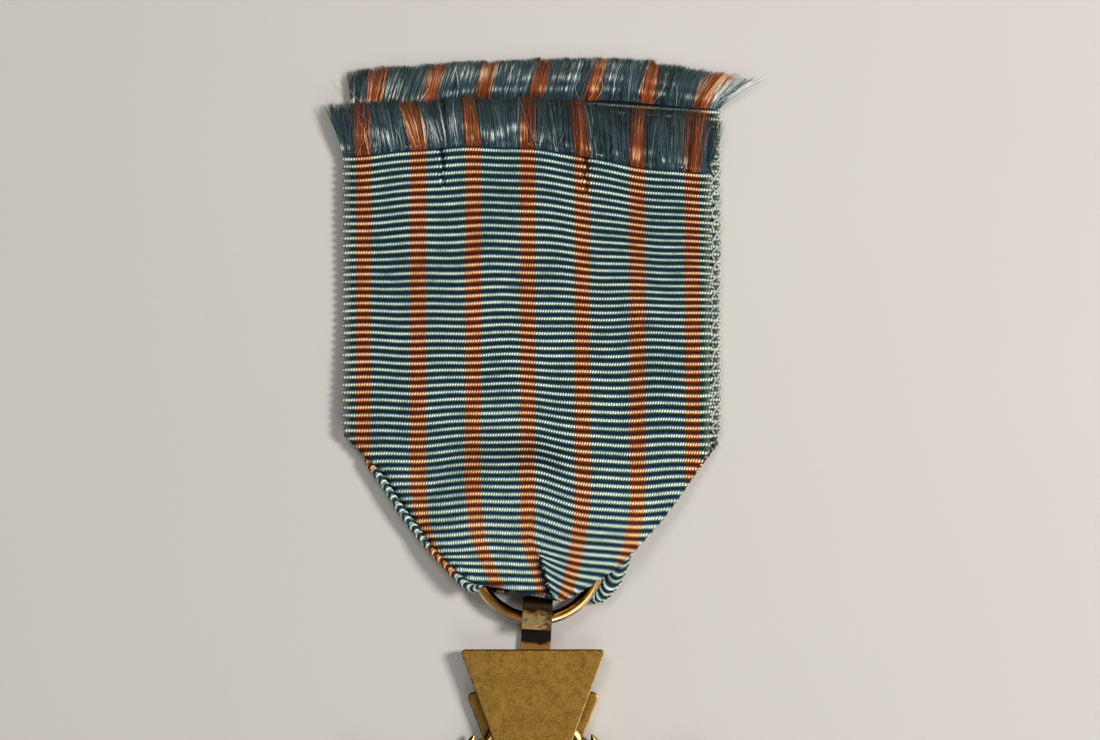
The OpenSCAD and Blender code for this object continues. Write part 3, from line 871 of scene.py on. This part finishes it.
for piece in (front, back):
    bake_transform(piece)
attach(frontFringe, "ribbon")
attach(backFringe, "ribbon")
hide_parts("front_panel", "front_fold")
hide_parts("back_panel", "back_fold", "ring_loop")
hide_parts("front_fringe")
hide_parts("back_fringe")


def agedBrass(name, base, bright, dark, rough, grain, mottle, edgeWearAndLight, soil):
    # struck brass, browned with age: fine grain in the face, the rounded edges rubbed to bare metal in
    # patches, with painted highlight on those that face right and painted shade on those that face up, and
    # dirt in the corners
    mat = newMaterial(name)
    where = addNode(mat, "TexCoord").outputs["Object"]
    fine = addNode(mat, "TexNoise", {"Vector": where, "Scale": 1.0 / (grain * mm), "Detail": 4.0})
    broad = addNode(mat, "TexNoise", {"Vector": where, "Scale": 500.0, "Detail": 2.0})
    spots = addNode(mat, "TexNoise", {"Vector": where, "Scale": 1500.0, "Detail": 2.0})
    tone = addNode(mat, "Math", {0: broad, 1: 0.25, 2: fine}, operation="MULTIPLY_ADD")
    spread = addNode(mat, "MapRange", {"Value": tone, "From Min": 0.45, "From Max": 0.8,
                                       "To Min": 0.5 - mottle / 2, "To Max": 0.5 + mottle / 2})
    body = addNode(mat, "Mix", {0: spread, 6: linear(dark), 7: linear(base)}, data_type="RGBA").outputs[2]
    facing = addNode(mat, "VectorTransform", {0: addNode(mat, "NewGeometry").outputs["True Normal"]},
                     vector_type="NORMAL", convert_from="WORLD", convert_to="OBJECT")
    tilt = addNode(mat, "SeparateXYZ", {0: facing})
    level = addNode(mat, "Math", {0: tilt.outputs["Z"]}, operation="ABSOLUTE")
    edge = addNode(mat, "MapRange", {"Value": level, "From Min": 0.985, "From Max": 0.9, "To Max": edgeWearAndLight})
    # painted light: an edge facing right gets more painted highlight, one facing up more painted shade
    paintedEdgeLight = addNode(mat, "Math", {0: tilt.outputs["X"], 1: tilt.outputs["Y"]}, operation="SUBTRACT")
    patchy = addNode(mat, "Math", {0: spots, 1: 1.4, 2: paintedEdgeLight}, operation="MULTIPLY_ADD")
    side = addNode(mat, "MapRange", {"Value": patchy, "From Min": 0.3, "From Max": 1.2})
    edgeColour = addNode(mat, "Mix", {0: side, 6: linear("#1c1207"), 7: linear(bright)},
                         data_type="RGBA").outputs[2]
    # a few dark pits
    pit = addNode(mat, "MapRange", {"Value": spots, "From Min": 0.72, "From Max": 0.78, "To Max": 0.7})
    pitted = addNode(mat, "Mix", {0: pit, 6: body, 7: linear("#33230f")}, data_type="RGBA").outputs[2]
    bare = addNode(mat, "Mix", {0: edge, 6: pitted, 7: edgeColour}, data_type="RGBA").outputs[2]
    near = addNode(mat, "AmbientOcclusion", {"Distance": 0.7 * mm}, samples=6).outputs["AO"]
    shut = addNode(mat, "MapRange", {"Value": near, "From Min": 0.35, "From Max": 0.95,
                                     "To Min": soil, "To Max": 0.0})
    colour = addNode(mat, "Mix", {0: shut, 6: bare, 7: linear("#24180c")}, data_type="RGBA").outputs[2]
    roughness = addNode(mat, "MapRange", {"Value": spots, "From Min": 0.3, "From Max": 0.7,
                                          "To Min": rough - 0.07, "To Max": rough + 0.09})
    bump = addNode(mat, "Bump", {"Height": tone, "Distance": 0.00002, "Strength": 0.4})
    shader = addNode(mat, "BsdfPrincipled", {"Base Color": colour, "Metallic": 1.0, "Roughness": roughness,
                                             "Normal": bump})
    return finishMaterial(mat, shader)


def blackenedBail():
    # brass strip blackened at its fold: dark at the bend, worn grey-gold on the flap, painted shade on the
    # leg under the flap's end, clean at its foot
    mat = newMaterial("blackenedBrassStrip")
    low, high = corners("suspension_bail")
    flapEnd = corners("suspension_ring")[0][1] + 0.05
    where = addNode(mat, "TexCoord").outputs["Object"]
    place = addNode(mat, "SeparateXYZ", {0: where})
    blotch = addNode(mat, "TexNoise", {"Vector": where, "Scale": 900.0, "Detail": 4.0})
    streaks = addNode(mat, "Mapping", {"Vector": where, "Scale": (1900.0, 2900.0, 1900.0)})
    scratches = addNode(mat, "TexNoise", {"Vector": streaks, "Scale": 1.0, "Detail": 3.0})
    ragged = addNode(mat, "Math", {0: blotch, 1: 0.0012, 2: place.outputs["Y"]}, operation="MULTIPLY_ADD")
    top = (high[1] + 0.6) * mm
    flap = addNode(mat, "MapRange", {"Value": ragged, "From Min": (flapEnd + 0.25) * mm, "From Max": top})
    leg = addNode(mat, "MapRange", {"Value": ragged, "From Min": (low[1] + 3.6) * mm, "From Max": top})
    flapRamp = addNode(mat, "ValToRGB", {"Fac": flap})
    legRamp = addNode(mat, "ValToRGB", {"Fac": leg})
    setStops(flapRamp, (0.0, 0.07, 0.15, 0.42, 0.58), ("#cf9c58", "#c9965a", "#a5946c", "#b08f58", "#2f2416"))
    # painted shade: the leg turns near-black from a little below the flap's end up to the bend, where the
    # flap shades it
    setStops(legRamp, (0.0, 0.16, 0.20, 0.6, 1.0), ("#bd8e4a", "#b28444", "#2a2829", "#2a2118", "#2a2118"))
    upper = addNode(mat, "Math", {0: place.outputs["Z"], 1: ringZ * mm}, operation="GREATER_THAN")
    body = addNode(mat, "Mix", {0: upper, 6: legRamp, 7: flapRamp}, data_type="RGBA").outputs[2]
    # stains thicken towards the right edge of the flap
    right = addNode(mat, "MapRange", {"Value": place.outputs["X"], "From Min": ringX * mm,
                                      "From Max": (ringX + 1.5) * mm, "To Min": -0.12, "To Max": 0.12})
    both = addNode(mat, "Math", {0: scratches, 1: right}, operation="ADD")
    stain = addNode(mat, "MapRange", {"Value": both, "From Min": 0.42, "From Max": 0.6, "To Max": 0.8})
    stained = addNode(mat, "Math", {0: stain, 1: upper}, operation="MULTIPLY")
    colour = addNode(mat, "Mix", {0: stained, 6: body, 7: linear("#2c281c")}, data_type="RGBA").outputs[2]
    bump = addNode(mat, "Bump", {"Height": scratches, "Distance": 0.00004, "Strength": 0.6})
    shader = addNode(mat, "BsdfPrincipled", {"Base Color": colour, "Metallic": 1.0, "Roughness": 0.42,
                                             "Normal": bump})
    return finishMaterial(mat, shader)


# mm and degrees; a leaf's length and width, and how far it leans from the middle of its branch
wreath = {"pairs": 24, "radius": 9.8, "band": 1.3, "leaf": (2.7, 1.05), "splay": 30, "plate": 0.2,
          "rise": 0.36}


def makeWreath():
    # two laurel branches of domed leaves, each with a ridge down its middle and veins beside it
    s = wreath
    low, high = corners("laurel_wreath")
    long, wide = s["leaf"]
    t, v = np.meshgrid(np.linspace(0, 1, 15), np.linspace(-1, 1, 11))
    # a leaf is widest before its middle; its edges curl down to the plate
    half = wide / 2 * np.sin(math.pi * t ** 0.8) ** 0.8
    flat = np.stack([v * half, (t - 0.5) * long], 2)
    dome = np.clip(1 - np.abs(v) ** 2.2, 0, 1) * np.sin(math.pi * t) ** 0.5
    veins = 0.05 * np.cos(2 * math.pi * (t * 7 - np.abs(v) * 1.2)) * (1 - np.exp(-(v / 0.2) ** 2))
    ridge = 0.22 * np.exp(-(v / 0.16) ** 2) + veins
    height = s["plate"] + (s["rise"] * (0.6 * dome + 0.8 * ridge * dome))
    rows, cols = t.shape
    index = np.arange(rows * cols).reshape(rows, cols)
    quads = gridQuads(rows, cols).reshape(-1, 4)
    rim = np.concatenate([index[0], index[1:, -1], index[-1, -2::-1], index[-2:0:-1, 0]])
    after = np.roll(rim, -1)
    total = rows * cols
    walls = np.stack([after, rim, rim + total, after + total], 1)
    leafFaces = np.concatenate([quads, quads[:, ::-1] + total, walls])
    top = np.concatenate([flat, height[..., None]], 2).reshape(-1, 3)
    under = top * [1, 1, 0]
    leaf = np.concatenate([top, under])
    shells = []
    step = 2 * math.pi / s["pairs"]
    limit = high[2] - low[2]
    for branch in (1, -1):
        for pair in range(s["pairs"] // 2):
            for side in (-1, 1):
                turn = -side * math.radians(s["splay"])
                around = -math.pi / 2 + (pair + 0.5) * step
                x = leaf[:, 0] * math.cos(turn) - leaf[:, 1] * math.sin(turn)
                x = x + s["radius"] + side * s["band"] / 2
                y = leaf[:, 0] * math.sin(turn) + leaf[:, 1] * math.cos(turn)
                px = x * math.cos(around) - y * math.sin(around)
                py = x * math.sin(around) + y * math.cos(around)
                points = np.column_stack([px * branch, py, np.minimum(leaf[:, 2], limit) + low[2]])
                shells.append((points, leafFaces[:, ::branch], {}))
    # the plate that carries the leaves
    turn = np.linspace(0, 2 * math.pi, 96, endpoint=False)
    inner, outer = s["radius"] - s["band"] / 2, s["radius"] + s["band"] / 2
    bottom, upper = low[2], low[2] + s["plate"]
    rings = [np.column_stack([r * np.cos(turn), r * np.sin(turn), np.full(96, z)])
             for r, z in ((inner, bottom), (outer, bottom), (outer, upper), (inner, upper))]
    index = np.arange(4 * 96).reshape(4, 96)
    beside, over = np.roll(index, -1, axis=1), np.roll(index, -1, axis=0)
    both = np.roll(over, -1, axis=1)
    faces = np.stack([beside, both, over, index], 2).reshape(-1, 4)
    shells.append((np.concatenate(rings), faces, {}))
    piece = meshPiece("wreathLeaves", *joinShells(shells), raisedBrass)
    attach(piece, "cross")
    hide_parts("laurel_wreath")


def drawnWire():
    # bent brass wire: painted shade on the inside of the ring, where the ribbon shades it, and a painted
    # highlight band round the outside
    mat = newMaterial("drawnBrassWire")
    where = addNode(mat, "TexCoord").outputs["Object"]
    flat = addNode(mat, "VectorMath", {0: where, 1: (1.0, 1.0, 0.0)}, operation="MULTIPLY")
    away = addNode(mat, "VectorMath", {0: flat, 1: (ringX * mm, ringY * mm, 0.0)},
                   operation="DISTANCE").outputs["Value"]
    cloud = addNode(mat, "TexNoise", {"Vector": where, "Scale": 700.0, "Detail": 3.0})
    ragged = addNode(mat, "Math", {0: cloud, 1: 0.0005, 2: away}, operation="MULTIPLY_ADD")
    low, high = corners("suspension_ring")
    outer = (high[0] - low[0]) / 2
    across = addNode(mat, "MapRange", {"Value": ragged, "From Min": (outer - 1.0) * mm,
                                       "From Max": (outer + 0.25) * mm})
    ramp = addNode(mat, "ValToRGB", {"Fac": across})
    # from the inside out: painted shade, a painted highlight band, then the orange-brown outer edge
    setStops(ramp, (0.0, 0.38, 0.58, 0.85, 1.0), ("#1c100a", "#52331a", "#eaa85c", "#ffe0a0", "#a8743a"))
    bump = addNode(mat, "Bump", {"Height": cloud, "Distance": 0.00003, "Strength": 0.3})
    shader = addNode(mat, "BsdfPrincipled", {"Base Color": ramp, "Metallic": 1.0, "Roughness": 0.26,
                                             "Normal": bump})
    return finishMaterial(mat, shader)


# grain in mm; mottle, wear and painted light of the edges, and soil in the corners from 0 to 1
metalSet = {
    "struckBrass": {"base": "#a8833e", "bright": "#e6ba72", "dark": "#7a5a26", "rough": 0.5, "grain": 0.16,
                    "mottle": 0.9, "edgeWearAndLight": 0.95, "soil": 0.7},
    "raisedBrass": {"base": "#b08a48", "bright": "#fbd490", "dark": "#6e4f20", "rough": 0.4, "grain": 0.2,
                    "mottle": 1.0, "edgeWearAndLight": 0.95, "soil": 0.9},
    "dullSolder": {"base": "#8c8778", "bright": "#b9b4a4", "dark": "#5f5a4e", "rough": 0.55, "grain": 0.2,
                   "mottle": 1.0, "edgeWearAndLight": 0.4, "soil": 0.6},
}
struckBrass, raisedBrass, dullSolder = [agedBrass(name, **s) for name, s in metalSet.items()]
makeWreath()
print("wreath made")
brightWire = drawnWire()
bailBrass = blackenedBail()

# the material of each metal part, and the radius in mm that its edges are rounded to
metalFinish = {
    "front_cross": (struckBrass, 0.16), "rear_cross": (struckBrass, 0.12),
    "medallion_disc": (struckBrass, 0.08), "medallion_rim": (raisedBrass, 0.03),
    "medallion_star": (raisedBrass, 0.03), "reverse_medallion": (struckBrass, 0.05),
    "centre_rivet": (struckBrass, 0.05), "suspension_ring": (brightWire, 0.0),
    "suspension_bail": (bailBrass, 0.06), "bail_solder": (dullSolder, 0.1),
}
for node, (mat, rounding) in metalFinish.items():
    part = frame["nodes"][node]
    part.data.materials.clear()
    part.data.materials.append(mat)
    if rounding:
        # the faces come apart at sharp edges, so they are joined again before the edges are rounded
        weld = part.modifiers.new("joined", "WELD")
        weld.merge_threshold = 0.001 * mm
        flat = part.modifiers.new("flatFaces", "DECIMATE")
        flat.decimate_type = "DISSOLVE"
        flat.angle_limit = math.radians(0.5)
        bevel = part.modifiers.new("softEdges", "BEVEL")
        bevel.width = rounding * mm
        bevel.segments = 2
        bevel.limit_method = "ANGLE"
        bevel.angle_limit = math.radians(35)
        part.modifiers.new("shading", "WEIGHTED_NORMAL")
print("metal finished")
